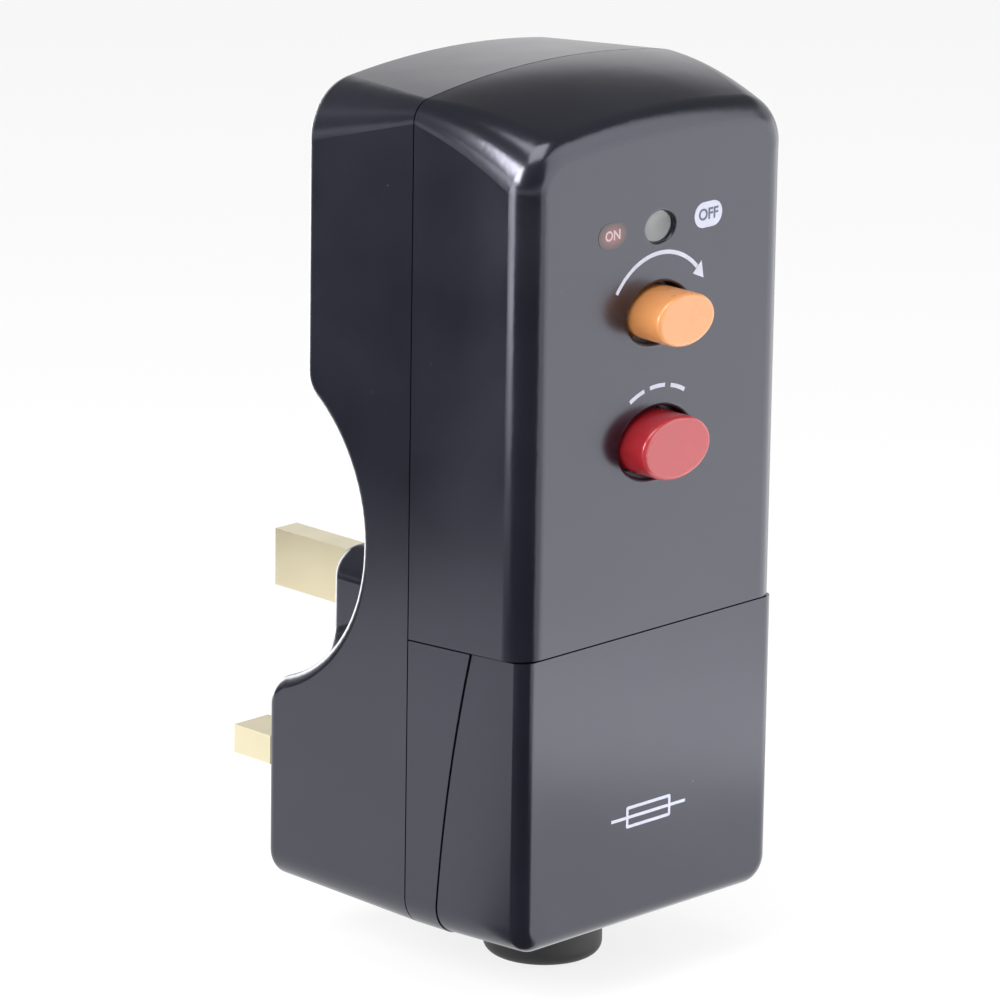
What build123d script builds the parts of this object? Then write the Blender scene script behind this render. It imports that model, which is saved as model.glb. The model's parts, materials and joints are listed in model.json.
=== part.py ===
from build123d import *
import os
from math import cos, pi, radians, sqrt, tan

# A residual current device plug for 13 A sockets, in millimetres.
# X runs across the plug, +Y along the pins towards the socket, +Z up.
# The origin is on the pin face, midway between the line pin and the neutral pin.

# Plug pins, as the 13 A standard gives them
pin_pitch = 22.23
earth_rise = 22.23
flat_pin_width = 6.35
flat_pin_height = 4.0
flat_pin_reach = 17.7
earth_pin_width = 4.0
earth_pin_height = 8.0
earth_pin_reach = 22.73
pin_tip_bevel = 1.1
sleeve_reach = 9.5
sleeve_wall = 0.65
pin_face_wall = 3.0
pin_flange = 2.0
pin_flange_lip = 1.1
pin_tail_end = 9.5

# Case
half_width = 24.55
crown_top = 99.5
crown_radius = 130.0
seam_corner = 3.0
end_corner = 8.0
head_fall = 1.6
front_fall = 4.0
base_z = -13.8
base_corner = 4.5
draft = 1.0
wall = 2.0
seam_y = -27.0
seam_gap = 0.2
front_y = -47.4
front_rim_radius = 3.7
cover_step = 0.0
cover_rim_radius = 2.0
cover_draft = 2.4
head_setback = 6.8
hip_radius = 4.5
back_rim_radius = 1.6
scoop_radius = 22.6
scoop_y = 4.9
scoop_z = 36.5
tower_half_width = 12.4
tower_top = 30.2
tower_corner = 4.0
tower_flare = 4.5
tower_foot = 5.0
panel_seam_z = 27.0
panel_seam_drop = 1.0
lip_depth = 1.6
lip_thickness = 0.85

# Slanted seam between terminal tray and cover, read in Y and Z
slant_top_y = -38.5
slant_top_z = 27.6
slant_mid_y = -34.7
slant_mid_z = 8.5
slant_foot_y = -32.7
slant_foot_z = -9.0

# Clearances
snug = 0.05
running = 0.06
free = 0.15
rest_gap = 0.2

# Front controls
window_z = 80.9
window_half_width = 2.7
window_half_height = 2.1
window_rim_radius = 0.35
lens_sink = 0.7
lens_length = 4.0
reset_z = 69.5
reset_half_width = 5.3
reset_half_height = 3.5
reset_gap_x = 0.45
reset_gap_z = 0.5
reset_rise = 5.1
reset_travel = 3.0
test_z = 52.2
test_half_width = 6.3
test_half_height = 4.2
test_gap = 0.55
test_rise = 3.9
test_travel = 1.8
well_depth = 3.0
well_wall = 1.6
well_rim_radius = 0.5
flange_thickness = 1.2
flange_lip = 1.2
cap_edge_radius = 0.6
stem_radius = 2.0
nose_radius = 0.8

# Circuit board
board_front = -22.9
board_thickness = 1.6
board_half_width = 20.0
board_low_z = 31.0
board_shoulder_z = 84.0
board_top_z = 95.5
board_neck = 13.5
post_radius = 2.6

# Mechanism
deck_front = -34.6
deck_thickness = 1.6
deck_half_width = 11.5
deck_low_z = 59.5
deck_top_z = 92.0
cheek_low_z = 66.0
cheek_thickness = 1.4
rocker_pivot_y = -27.7
rocker_pivot_z = 81.0
rocker_half_width = 9.6
rocker_low_z = 67.5
rocker_top_z = 85.6
rocker_thickness = 1.8
rocker_hub_radius = 1.9
rocker_pin_radius = 1.0
contact_x = 6.5
contact_z = 88.5
stem_rest_gap = 0.4

# Trip solenoid
coil_x = -14.5
coil_y = -29.4
plunger_radius = 2.0
plunger_top = 65.4
plunger_travel = 2.0
yoke_low_z = 37.0
yoke_high_z = 57.2
yoke_thickness = 1.2
yoke_half_width = 5.8
coil_radius = 4.8
latch_pivot_x = -8.0
latch_pivot_z = 62.5
latch_pin_radius = 0.8
latch_back = -30.2
latch_thickness = 1.6

# Terminals, fuse and cord entry
strap_thickness = 0.8
strap_front = -24.8
terminal_x = {"neutral": -10.0, "earth": 0.0, "live": 8.0}
terminal_width = 6.5
terminal_low_z = 8.0
terminal_high_z = 16.5
terminal_depth = 7.0
wire_bore = 1.7
fuse_x = 15.5
fuse_mid_z = 11.0
fuse_length = 25.4
fuse_radius = 3.175
fuse_seat = 1.025
fuse_cap_length = 6.2
tray_half_width = 21.7
tray_back = -13.0
tray_wall = 1.6
tray_roof_z = 25.6
tray_base_gap = 0.3
inlet_y = -28.5
inlet_radius = 8.0
inlet_bore = 4.75
inlet_neck = 6.2
inlet_flange = 7.4
inlet_reach = 8.2
grip_half_width = 11.0
grip_low_z = -8.8
grip_high_z = -3.6
grip_split_y = -31.1
grip_screw_x = 8.2
grip_bar_depth = 3.4

# Screws
case_shank = 1.15
case_head = 2.9
case_head_height = 1.5
head_screw_x = 18.4
head_screw_z = 90.5
base_screw_x = 18.6
base_screw_z = -7.1
cover_screw_z = 4.4
boss_radius = 3.1
small_shank = 1.0
small_head = 2.1
small_head_height = 1.3
facets = 8
link_half = 0.5
link_span = 13.5

MIN = (Align.MIN, Align.MIN, Align.MIN)
RISE = (Align.CENTER, Align.CENTER, Align.MIN)


def block(x0, x1, y0, y1, z0, z1):
    """Box between two corners, each pair given low first."""
    return Pos(x0, y0, z0) * Box(x1 - x0, y1 - y0, z1 - z0, align=MIN)


def rod_x(radius, y, z, x0, x1):
    return Location((x0, y, z), (0, 90, 0)) * Cylinder(radius, x1 - x0, align=RISE)


def rod_y(radius, x, z, y0, y1):
    return Location((x, y0, z), (-90, 0, 0)) * Cylinder(radius, y1 - y0, align=RISE)


def rod_z(radius, x, y, z0, z1):
    return Pos(x, y, z0) * Cylinder(radius, z1 - z0, align=RISE)


def front_plane(y):
    """Plane across the plug at depth y, read in X and Z, that faces the front."""
    return Plane(origin=(0, y, 0), x_dir=(1, 0, 0), z_dir=(0, -1, 0))


def back_plane(y):
    """Plane across the plug at depth y, read in -X and Z, that faces the socket."""
    return Plane(origin=(0, y, 0), x_dir=(-1, 0, 0), z_dir=(0, 1, 0))


def slab_y(sheet, y0, y1):
    """An outline read in X and Z, thickened from y0 to y1."""
    return extrude(front_plane(y1) * sheet, y1 - y0)


def slab_x(sheet, x0, x1):
    """An outline read in Y and Z, thickened from x0 to x1."""
    side = Plane(origin=(x0, 0, 0), x_dir=(0, 1, 0), z_dir=(1, 0, 0))
    return extrude(side * sheet, x1 - x0)


def slab_z(sheet, z0, z1):
    return extrude(Plane.XY.offset(z0) * sheet, z1 - z0)


def oval_y(half_x, half_z, z, y0, y1, x=0):
    return slab_y(Pos(x, z) * Ellipse(half_x, half_z), y0, y1)


def coil_spring(radius, wire, turns, length):
    """Compression spring along Z from the origin, one wire swept on a helix."""
    rise = length - wire
    path = Helix(pitch=rise / turns, height=rise, radius=radius)
    start = Plane(origin=path @ 0, z_dir=path % 0)
    return Pos(0, 0, wire / 2) * sweep(start * RegularPolygon(wire / 2, 4), path=path, is_frenet=True)


def along_y(solid, x, y, z):
    """Turns a solid that stands on the origin so that it runs along +Y from the point given."""
    return Location((x, y, z), (-90, 0, 0)) * solid


def bead_z(radius, x, y, z0, z1):
    """Small round part along Z with few sides, such as a diode or a resistor."""
    return slab_z(Pos(x, y) * RegularPolygon(radius, facets), z0, z1)


def save(name, *solids):
    shape = solids[0] if len(solids) == 1 else Compound(children=list(solids))
    export_step(shape, f"parts/{name}.step")


def case_section(out, front, inset, slope):
    """Outline across the case at a distance out from its seam, inset all round.

    On the way out the crown falls, more so to the front, and the top corners grow.
    """
    part = out / (seam_y - front_y if front else -seam_y - head_setback)
    fall = front_fall * part ** 2 if front else head_fall * part
    corner = seam_corner + (end_corner - seam_corner) * part
    shrink = inset + out * tan(radians(slope))
    top = crown_top - inset - fall
    bottom = base_z + shrink
    sheet = Pos(0, (top + bottom) / 2) * Rectangle(2 * (half_width - shrink), top - bottom)
    sheet = sheet & (Pos(0, top - crown_radius + inset) * Circle(crown_radius - inset))
    sheet = fillet(sheet.vertices().group_by(Axis.Y)[-1], corner - inset)
    return fillet(sheet.vertices().group_by(Axis.Y)[0], base_corner - inset)


def case_body(near, far, inset=0.0, slope=draft):
    """The case's form from near its seam to a depth before or behind it, inset from its outside."""
    front = far < near
    facing = front_plane if front else back_plane
    wide = half_width + 1
    low, high = min(near, far) - 1, max(near, far) + 1

    def section_at(y):
        return facing(y) * case_section(seam_y - y if front else y - seam_y, front, inset, slope)

    crown = loft([section_at(y) for y in (near, (near + far) / 2, far)])
    crown &= block(-wide, wide, low, high, crown_low_z, crown_top + 1)
    shaft = extrude(section_at(near), abs(far - near), taper=slope)
    return crown + (shaft & block(-wide, wide, low, high, base_z - 1, crown_low_z))


def pin_tower(inset, y0, y1):
    """Upright block that carries the earth pin, with rounded top corners, inset from its outside."""
    low = tower_foot
    high = tower_top - inset
    sheet = Pos(0, (low + high) / 2) * Rectangle(2 * (tower_half_width - inset), high - low)
    sheet = fillet(sheet.vertices().group_by(Axis.Y)[-1], tower_corner - inset / 2)
    return slab_y(sheet, y0, y1)


def scoop_depth(z, inset=0.0):
    """Y of the finger scoop's surface, or of a surface inset from it, at height z."""
    return scoop_y - sqrt((scoop_radius + inset) ** 2 - (z - scoop_z) ** 2)


def back_rim(body):
    """Outer edges round the pin face, round the head's back and down both sides of the scoop."""
    picked = []
    for edge in body.edges():
        box = edge.bounding_box()
        flat = box.size.Y < 0.01
        on_back = flat and min(abs(box.max.Y), abs(box.max.Y + head_setback)) < 0.01
        on_flank = abs(edge.center().X) > half_width - draft_loss - 1 and box.min.Y > seam_y + 1
        waist = edge.length > half_width and flat and box.size.Z < 0.01 and edge.center().Z > 0
        if (on_back or on_flank) and not waist:
            picked.append(edge)
    return picked


def rear_body():
    """Outside of the rear housing: drafted case, set-back head, finger scoop and pin tower."""
    wide = half_width + 1
    body = case_body(seam_y + seam_gap / 2, 0)
    body -= block(-wide, wide, -head_setback, 1, scoop_z, crown_top + 1)
    body -= rod_x(scoop_radius, scoop_y, scoop_z, -wide, wide)
    hips = [e for e in body.edges().filter_by(Axis.X) if e.length > half_width and 5 < e.center().Z < 70]
    body = fillet(hips, hip_radius)
    tower = pin_tower(0, seam_y + wall, 0)
    joined = body + tower
    joined = fillet(new_edges(body, tower, combined=joined), tower_flare)
    return fillet(back_rim(joined), back_rim_radius)


def rear_cavity(inset):
    """Space behind the rear housing's skin, inset from its outside on every side."""
    wide = half_width + 1
    floor = wall - inset - pin_face_wall
    shell = case_body(seam_y - 1, floor, inset)
    shell -= block(-wide, wide, -head_setback - inset, 1, scoop_z, crown_top + 1)
    shell -= rod_x(scoop_radius + inset, scoop_y, scoop_z, -wide, wide)
    return shell + pin_tower(inset, seam_y + wall, floor)


def rebate():
    """Step round the rear housing's rim that takes the front housing's lip."""
    step = case_body(seam_y - 1, seam_y + lip_depth + free, wall - lip_thickness - free)
    return step - block(-half_width, half_width, seam_y - 2, 0, base_z, panel_seam_z - panel_seam_drop)


def pin_places():
    """Centre, width and height of each pin's section, seen from the front."""
    return {
        "neutral": (-pin_pitch / 2, 0, flat_pin_width, flat_pin_height),
        "live": (pin_pitch / 2, 0, flat_pin_width, flat_pin_height),
        "earth": (0, earth_rise, earth_pin_width, earth_pin_height),
    }


def section(place, grow):
    x, z, width, height = place
    return Pos(x, z) * Rectangle(width + 2 * grow, height + 2 * grow)


def screw_y(shank, head, head_height, x, z, head_y, tip_y):
    """Screw along Y whose head lies against the face at head_y, on the side away from the tip."""
    sheet = Pos(x, z) * RegularPolygon(shank, facets)
    body = slab_y(sheet, min(tip_y, head_y), max(tip_y, head_y))
    if tip_y < head_y:
        return body + rod_y(head, x, z, head_y, head_y + head_height)
    return body + rod_y(head, x, z, head_y - head_height, head_y)


def rear_housing():
    body = rear_body() - rear_cavity(wall) - rebate()
    inner_head = -head_setback - wall
    for side in (-1, 1):
        x = side * head_screw_x
        body += rod_y(boss_radius, x, head_screw_z, seam_y + rest_gap, inner_head)
        body -= rod_y(case_shank + free, x, head_screw_z, seam_y, 0)
        body -= rod_y(case_head + free, x, head_screw_z, -head_setback - case_head_height - rest_gap, 0)
        x = side * base_screw_x
        body += rod_y(boss_radius, x, base_screw_z, tray_back + rest_gap, -pin_face_wall)
        body -= rod_y(case_shank + free, x, base_screw_z, seam_y, 1)
        body -= rod_y(case_head + free, x, base_screw_z, -case_head_height - rest_gap, 1)
        body += rod_y(post_radius, side * board_post_x, board_post_z, board_back, inner_head + 0.5)
    body += rod_y(post_radius, 0, low_post_z, board_back, scoop_depth(low_post_z, wall / 2))
    body += rod_y(boss_radius, 0, cover_screw_z, tray_back + rest_gap, -pin_face_wall)
    body -= rod_y(case_shank + free, 0, cover_screw_z, seam_y, 1)
    body -= rod_y(case_head + free, 0, cover_screw_z, -case_head_height - rest_gap, 1)
    for x in retainer_posts:
        body += rod_y(small_head, x, retainer_screw_z, retainer_back, -pin_face_wall)
        body -= rod_y(small_shank + snug, x, retainer_screw_z, retainer_back - 1, -1.2)
    for place in pin_places().values():
        body -= slab_y(section(place, snug), seam_y, 1)
    for x, z in board_screws:
        end = board_back + 5.4 if z > scoop_z + 10 else -19.4
        body -= rod_y(small_shank + snug, x, z, board_back - 1, end)
    body -= rod_z(inlet_neck + rest_gap, 0, inlet_y, base_z - 1, base_z + wall + 1)
    return body


def front_body():
    """Outside of the front housing, crowned and drafted, with a generous rim radius."""
    body = case_body(seam_y - seam_gap / 2, front_y)
    return fillet(body.faces().sort_by(Axis.Y)[0].edges(), front_rim_radius)


def panel_seam(y):
    """Height of the cross seam at depth y: it falls slightly from the front to the back."""
    return panel_seam_z - panel_seam_drop * (y - front_y) / (seam_y - front_y)


def below_seam(lift):
    """Everything under the cross seam, moved up by lift."""
    wide = half_width + 5
    ends = [front_y - 2, seam_y + 8]
    low = base_z - 20
    points = [(ends[0], low), (ends[0], panel_seam(ends[0]) + lift)]
    points += [(ends[1], panel_seam(ends[1]) + lift), (ends[1], low)]
    return slab_x(make_face(Polyline(*points, close=True)), -wide, wide)


def front_rims(body, z, half_x):
    """Edges of the hole at height z and of half width half_x in the front face."""
    edges = body.faces().sort_by(Axis.Y)[0].edges()
    return [e for e in edges if abs(e.center().Z - z) < 1 and e.bounding_box().size.X < 2.1 * half_x]


def front_housing():
    inner_front = front_y + wall
    body = front_body() - below_seam(seam_gap / 2)
    body -= case_body(seam_y + 1, inner_front, wall) - below_seam(seam_gap / 2 + wall)
    lip_start, lip_end = seam_y - seam_gap, seam_y + lip_depth
    ring = case_body(lip_start, lip_end, wall - lip_thickness) - case_body(lip_start - 1, lip_end + 1, wall)
    body += ring - below_seam(seam_gap / 2 + wall)
    for z, half_x, half_z, cap_x, cap_z in (
        (reset_z, reset_well_x, reset_well_z, reset_half_width, reset_half_height),
        (test_z, test_well_x, test_well_z, test_half_width, test_half_height),
    ):
        body += oval_y(half_x + well_wall, half_z + well_wall, z, inner_front - 0.1, well_floor)
        body -= oval_y(half_x, half_z, z, front_y - 1, front_y + well_depth)
        body -= oval_y(cap_x + free, cap_z + free, z, front_y - 1, well_floor + 1)
        body = fillet(front_rims(body, z, half_x), well_rim_radius)
    half_x, half_z = window_half_width, window_half_height
    body += oval_y(half_x + well_wall, half_z + well_wall, window_z, inner_front - 0.1, lens_end)
    body -= oval_y(half_x, half_z, window_z, front_y - 1, lens_end + 1)
    body = fillet(front_rims(body, window_z, window_half_width), window_rim_radius)
    for side in (-1, 1):
        x = side * head_screw_x
        body += rod_y(boss_radius, x, head_screw_z, inner_front - 0.5, seam_y)
        body -= rod_y(case_shank + snug, x, head_screw_z, head_screw_tip - 1, seam_y + 1)
    return body


def slant_face(shift):
    """The side region in front of the slanted seam, read in Y and Z and moved back by shift."""
    top = (slant_top_y + shift, slant_top_z)
    middle = (slant_mid_y + shift, slant_mid_z)
    foot = (slant_foot_y + shift, slant_foot_z)
    low = (slant_foot_y + shift, base_z - 2)
    corner, shoulder = (front_y - 2, base_z - 2), (front_y - 2, slant_top_z)
    lines = [ThreePointArc(top, middle, foot), Line(foot, low), Line(low, corner)]
    lines += [Line(corner, shoulder), Line(shoulder, top)]
    return make_face(Curve() + lines)


def lower_body(slope):
    """Outside of the lower front of the case, which tray and cover share, at the draft given."""
    body = case_body(seam_y - seam_gap / 2, cover_front, 0.0, slope)
    body = fillet(body.faces().sort_by(Axis.Y)[0].edges(), cover_rim_radius)
    return body & below_seam(-seam_gap / 2)


def terminal_cover():
    wide = half_width + 2
    inner_front = cover_front + wall
    body = lower_body(cover_draft) & slab_x(slant_face(-seam_gap / 2), -wide, wide)
    hollow = case_body(seam_y, inner_front, wall)
    body -= hollow - block(-wide, wide, front_y, seam_y + 1, cover_roof_z, crown_top)
    body += rod_y(boss_radius, 0, cover_screw_z, inner_front - 0.5, cover_boss_end)
    body -= rod_y(case_shank + snug, 0, cover_screw_z, cover_screw_tip - 1, cover_boss_end + 1)
    for x in (-grip_half_width, grip_half_width):
        body += block(x - 0.6, x + 0.6, inner_front - 0.5, inner_front + 2, base_z + wall, cover_roof_z)
    return body - rod_z(inlet_neck + rest_gap, 0, inlet_y, base_z - 1, base_z + wall + 1)


def terminal_tray():
    """Insulating tray that carries terminals, fuse and cord grip; its cheeks show on both sides."""
    wide = half_width + 2
    start = seam_y - seam_gap / 2
    cheeks = lower_body(draft) - slab_x(slant_face(seam_gap / 2), -wide, wide)
    roof = tray_roof_z - tray_wall
    cheeks -= block(-tray_inner, tray_inner, front_y, seam_y + 1, base_z + wall, roof)
    cheeks -= block(-tray_inner, tray_inner, front_y, seam_y + 1, tray_roof_z, crown_top)
    box = block(-tray_half_width, tray_half_width, start, tray_back, tray_base_z, tray_roof_z)
    box -= block(-tray_inner, tray_inner, start - 1, tray_floor, tray_base_z + tray_wall, roof)
    body = cheeks + box + tray_posts() + cord_saddle()
    room = rear_cavity(wall + rest_gap) + block(-wide, wide, front_y, start, base_z - 1, crown_top)
    body &= cheeks + room
    body -= rod_y(case_shank + free, 0, cover_screw_z, front_y, 0)
    for side in (-1, 1):
        body -= rod_y(case_shank + snug, side * base_screw_x, base_screw_z, tray_floor - 7, 0)
    body -= strap_slots()
    body -= rod_z(inlet_flange + rest_gap, 0, inlet_y, tray_base_z - 0.2, grip_low_z)
    return body - rod_z(inlet_neck + rest_gap, 0, inlet_y, base_z - 1, grip_low_z)


def tray_posts():
    """Seats on the tray's floor for terminals, fuse clips, feed strap and screws, with two barriers."""
    seat = strap_front + strap_thickness
    body = rod_y(boss_radius, 0, cover_screw_z, cover_boss_end + rest_gap, tray_floor)
    for x in terminal_x.values():
        half = terminal_width / 2 - 0.3
        body += block(x - half, x + half, seat, tray_floor, terminal_low_z, terminal_high_z)
    for z in (fuse_clip_low, fuse_clip_high):
        body += block(fuse_x - 3, fuse_x + 1.2, seat, tray_floor, z - 2.5, z + 2.5)
    body += block(-tray_inner, -feed_x + 1.7, seat, tray_floor, 5, 9)
    for x in (-5.0, 4.0):
        body += block(x - 0.5, x + 0.5, -33.0, tray_floor, terminal_low_z - 2, tray_roof_z - tray_wall)
    for side in (-1, 1):
        boss = rod_y(boss_radius, side * base_screw_x, base_screw_z, tray_floor - 8, tray_floor)
        body += boss & block(-tray_half_width, tray_half_width, seam_y, tray_back, tray_base_z, 5)
    return body


def cord_saddle():
    """Grooved seat that the cord lies in, under the grip bar."""
    saddle = block(-grip_half_width, grip_half_width, grip_split_y, tray_floor, grip_low_z, grip_high_z)
    saddle -= rod_z(inlet_bore - 0.2, 0, inlet_y, grip_low_z - 1, grip_high_z + 1)
    for x in (-grip_screw_x, grip_screw_x):
        saddle -= rod_y(small_shank + snug, x, grip_mid_z, grip_split_y - 1, grip_split_y + 9)
    return saddle


def strap_slots():
    """Slots through the tray's floor and roof for the straps that leave it."""
    gap = 0.3
    back = tray_floor - 1
    cuts = block(fuse_x + 1.6 - gap, fuse_x + 2.4 + gap, back, 0, -2 - gap, 2 + gap)
    cuts += block(-fuse_x - 2.4 - gap, -fuse_x - 1.6 + gap, back, 0, -2 - gap, 2 + gap)
    cuts += block(-2.2 - gap, 2.2 + gap, back, 0, earth_rise - 0.4 - gap, earth_rise + 0.4 + gap)
    y0, y1 = strap_front - gap, strap_front + strap_thickness + gap
    z0, z1 = tray_roof_z - tray_wall - 1, tray_roof_z + 1
    bars = [(terminal_x[name], 2.0) for name in ("neutral", "live")]
    for x, half in [(-feed_x, 1.7), (fuse_x - 0.3, 2.0)] + bars:
        cuts += block(x - half - gap, x + half + gap, y0, y1, z0, z1)
    return cuts


def plug_pin(place, reach, sleeved):
    x, z, width, height = place
    body = slab_y(section(place, 0), -pin_face_wall, reach)
    body = chamfer(body.faces().sort_by(Axis.Y)[-1].edges(), pin_tip_bevel)
    if sleeved:
        jacket = slab_y(section(place, 1), -pin_face_wall, sleeve_reach)
        body -= jacket - slab_y(section(place, -sleeve_wall), -pin_face_wall - 1, sleeve_reach + 1)
    flange_back = -pin_face_wall - pin_flange
    body += slab_y(section(place, pin_flange_lip), flange_back, -pin_face_wall)
    return body + slab_y(Pos(x, z) * Rectangle(width - 2, height - 1), -pin_tail_end, flange_back)


def pin_sleeve(place):
    outer = slab_y(section(place, 0), -pin_face_wall, sleeve_reach)
    return outer - slab_y(section(place, -sleeve_wall), -pin_face_wall - 1, sleeve_reach + 1)


def pin_retainer():
    """Plate behind the pin flanges that holds all three pins against the pin face wall."""
    front = retainer_back - retainer_thickness
    foot = slab_y(Pos(0, 2.8) * RectangleRounded(34.8, 12.6, 2), front, retainer_back)
    top = tower_top - wall - rest_gap
    low = retainer_neck_low
    neck = Pos(0, (top + low) / 2) * RectangleRounded(retainer_neck_width, top - low, 2)
    neck = slab_y(neck, front, retainer_back)
    body = foot + neck
    for x, z, width, height in pin_places().values():
        slot = Pos(x, z) * Rectangle(width - 2 + 0.3, height - 1 + 0.3)
        body -= slab_y(slot, front - 1, retainer_back + 1)
    body -= rod_y(boss_radius + rest_gap, 0, cover_screw_z, front - 1, retainer_back + 1)
    for x in retainer_posts:
        body -= rod_y(small_shank + free, x, retainer_screw_z, front - 1, retainer_back + 1)
    return body


def strap_pieces():
    """Bent straps and bars that join pins, fuse, terminals and circuit board."""
    thick = strap_thickness
    back = strap_front + thick
    tail = -pin_tail_end
    live_x = pin_pitch / 2
    outer = fuse_x + 2.4
    inlet = block(live_x - 2.5, outer, tail - thick, tail, -2, 2)
    inlet += block(outer - thick, outer, strap_front, tail, -2, 2)
    inlet += block(fuse_x - 3, outer, strap_front, back, -2, fuse_clip_low + 2.5)
    neutral = block(-outer, -live_x + 2.5, tail - thick, tail, -2, 2)
    neutral += block(-outer, -outer + thick, strap_front, tail, -2, 2)
    neutral += block(-feed_x - 1.7, -outer + thick, strap_front, back, -2, 2)
    neutral += block(-feed_x - 1.7, -feed_x + 1.7, strap_front, back, -2, strap_top)
    neutral += board_tab(-feed_x, 1.7)
    feed = block(fuse_x - 2.3, fuse_x + 1.7, strap_front, back, fuse_clip_high - 2.5, strap_top)
    feed += board_tab(fuse_x - 0.3, 2.0)
    bars = []
    for x in (terminal_x["neutral"], terminal_x["live"]):
        bar = block(x - 2, x + 2, strap_front, back, terminal_low_z, strap_top)
        bars.append(bar + board_tab(x, 2.0))
    earth = block(-2.2, 2.2, tail - thick, tail, earth_rise - 2.5, earth_rise + 2.5)
    earth += block(-2.2, 2.2, strap_front, tail - thick, earth_rise - thick / 2, earth_rise + thick / 2)
    earth += block(-2.2, 2.2, strap_front, back, terminal_low_z, earth_rise + thick / 2)
    return inlet, neutral, feed, bars, earth


def board_tab(x, half):
    """Tab at a strap's top that turns back to the circuit board."""
    back = strap_front + strap_thickness
    return block(x - half, x + half, back, board_front, strap_top - strap_thickness, strap_top)


def terminal(name):
    x = terminal_x[name]
    front = strap_front - terminal_depth
    half = terminal_width / 2
    body = block(x - half, x + half, front, strap_front, terminal_low_z, terminal_high_z)
    body = chamfer(body.edges().filter_by(Axis.Y), 0.6)
    body -= rod_z(wire_bore, x, strap_front - 3, terminal_low_z - 1, terminal_high_z + 1)
    return body - rod_y(case_shank + snug, x, terminal_mid_z, front - 1, strap_front - 3)


def slotted_screw(x, z, head_y, tip_y, shank, head):
    body = screw_y(shank, head, small_head_height + 0.2, x, z, head_y, tip_y)
    slot_y = head_y - small_head_height - 0.2
    return body - block(x - head - 1, x + head + 1, slot_y - 1, slot_y + 0.7, z - 0.35, z + 0.35)


def fuse_clip(z):
    """Spring clip: a foot on the strap and two arms round the fuse cap, open to the front."""
    grip = Pos(fuse_x, fuse_y) * (Circle(fuse_radius + snug + 0.6) - Circle(fuse_radius + snug))
    grip -= Pos(fuse_x, fuse_y - fuse_radius) * Rectangle(4.6, 3.4)
    grip += Pos(fuse_x, strap_front - 0.3) * Rectangle(6.0, 0.6)
    return slab_z(grip, z - 2.2, z + 2.2)


def fuse_body():
    cap_gap = 0.4
    half = fuse_length / 2
    reach = half - cap_gap
    tube = rod_z(fuse_radius - 0.45, fuse_x, fuse_y, fuse_mid_z - reach, fuse_mid_z + reach)
    belly = half - fuse_cap_length - 0.05
    return tube + rod_z(fuse_radius - 0.1, fuse_x, fuse_y, fuse_mid_z - belly, fuse_mid_z + belly)


def fuse_cap(end):
    """End cap, a shallow cup of plated brass; end is -1 for the lower one and 1 for the upper."""
    tip = fuse_mid_z + end * fuse_length / 2
    mouth = tip - end * fuse_cap_length
    floor = tip - end * 0.35
    cap = rod_z(fuse_radius, fuse_x, fuse_y, min(tip, mouth), max(tip, mouth))
    cap = chamfer(cap.faces().sort_by(Axis.Z)[-1 if end > 0 else 0].edges(), 0.3)
    return cap - rod_z(fuse_radius - 0.4, fuse_x, fuse_y, min(floor, mouth), max(floor, mouth))


def cord_inlet_bush():
    """Round bush under the base: collar outside, neck in the wall, flange inside, cord bore."""
    under = base_z - rest_gap
    collar = rod_z(inlet_radius, 0, inlet_y, base_z - inlet_reach, under)
    collar = fillet(collar.faces().sort_by(Axis.Z)[0].edges(), 1.6)
    neck = rod_z(inlet_neck, 0, inlet_y, under, tray_base_z + 0.6)
    flange = rod_z(inlet_flange, 0, inlet_y, tray_base_z + 0.1, grip_low_z - rest_gap)
    return collar + neck + flange - rod_z(inlet_bore, 0, inlet_y, base_z - inlet_reach - 1, 0)


def cord_grip_bar():
    front = grip_split_y - grip_bar_depth
    bar = block(-grip_half_width, grip_half_width, front, grip_split_y, grip_low_z + 0.2, grip_high_z)
    bar = fillet(bar.faces().sort_by(Axis.Y)[0].edges(), 1.0)
    bar -= rod_z(inlet_bore, 0, inlet_y, grip_low_z, grip_high_z + 1)
    for side in (-1, 1):
        bar -= rod_y(small_shank + free, side * grip_screw_x, grip_mid_z, front - 1, grip_split_y + 1)
    return bar


def circuit_board():
    low = board_low_z
    sheet = Pos(0, (low + board_top_z) / 2) * Rectangle(2 * board_neck, board_top_z - low)
    shoulder = Rectangle(2 * board_half_width, board_shoulder_z - low)
    sheet += Pos(0, (low + board_shoulder_z) / 2) * shoulder
    body = slab_y(sheet, board_front, board_back)
    for x, z in board_screws:
        body -= rod_y(small_shank + free, x, z, board_front - 1, board_back + 1)
    return body


def ring_y(outer, inner, x, z, y0, y1):
    return rod_y(outer, x, z, y0, y1) - rod_y(inner, x, z, y0 - 1, y1 + 1)


def sensing_pieces():
    """Toroid that senses the difference of the line currents, with its winding and the two links."""
    x, z = 7.0, 75.0
    back = board_back + 8.8
    core = ring_y(10.0, 5.0, x, z, board_back + 1, back - 0.8)
    winding = ring_y(10.8, 4.2, x, z, board_back + 0.1, back)
    winding -= ring_y(10.1, 4.9, x, z, board_back + 0.9, back - 0.7)
    gap = Pos(x, z) * Rectangle(30, 4)
    winding -= slab_y(gap, board_back - 1, back + 1)
    links = []
    crown = back + 1.6
    foot, top = z - link_half, z + link_span + link_half
    for offset in (-1.4, 1.4):
        low, high = x + offset - link_half, x + offset + link_half
        link = block(low, high, board_back, crown, foot, foot + 2 * link_half)
        link += block(low, high, board_back, crown, top - 2 * link_half, top)
        links.append(link + block(low, high, crown - 2 * link_half, crown, foot, top))
    return core, winding, links


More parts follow.
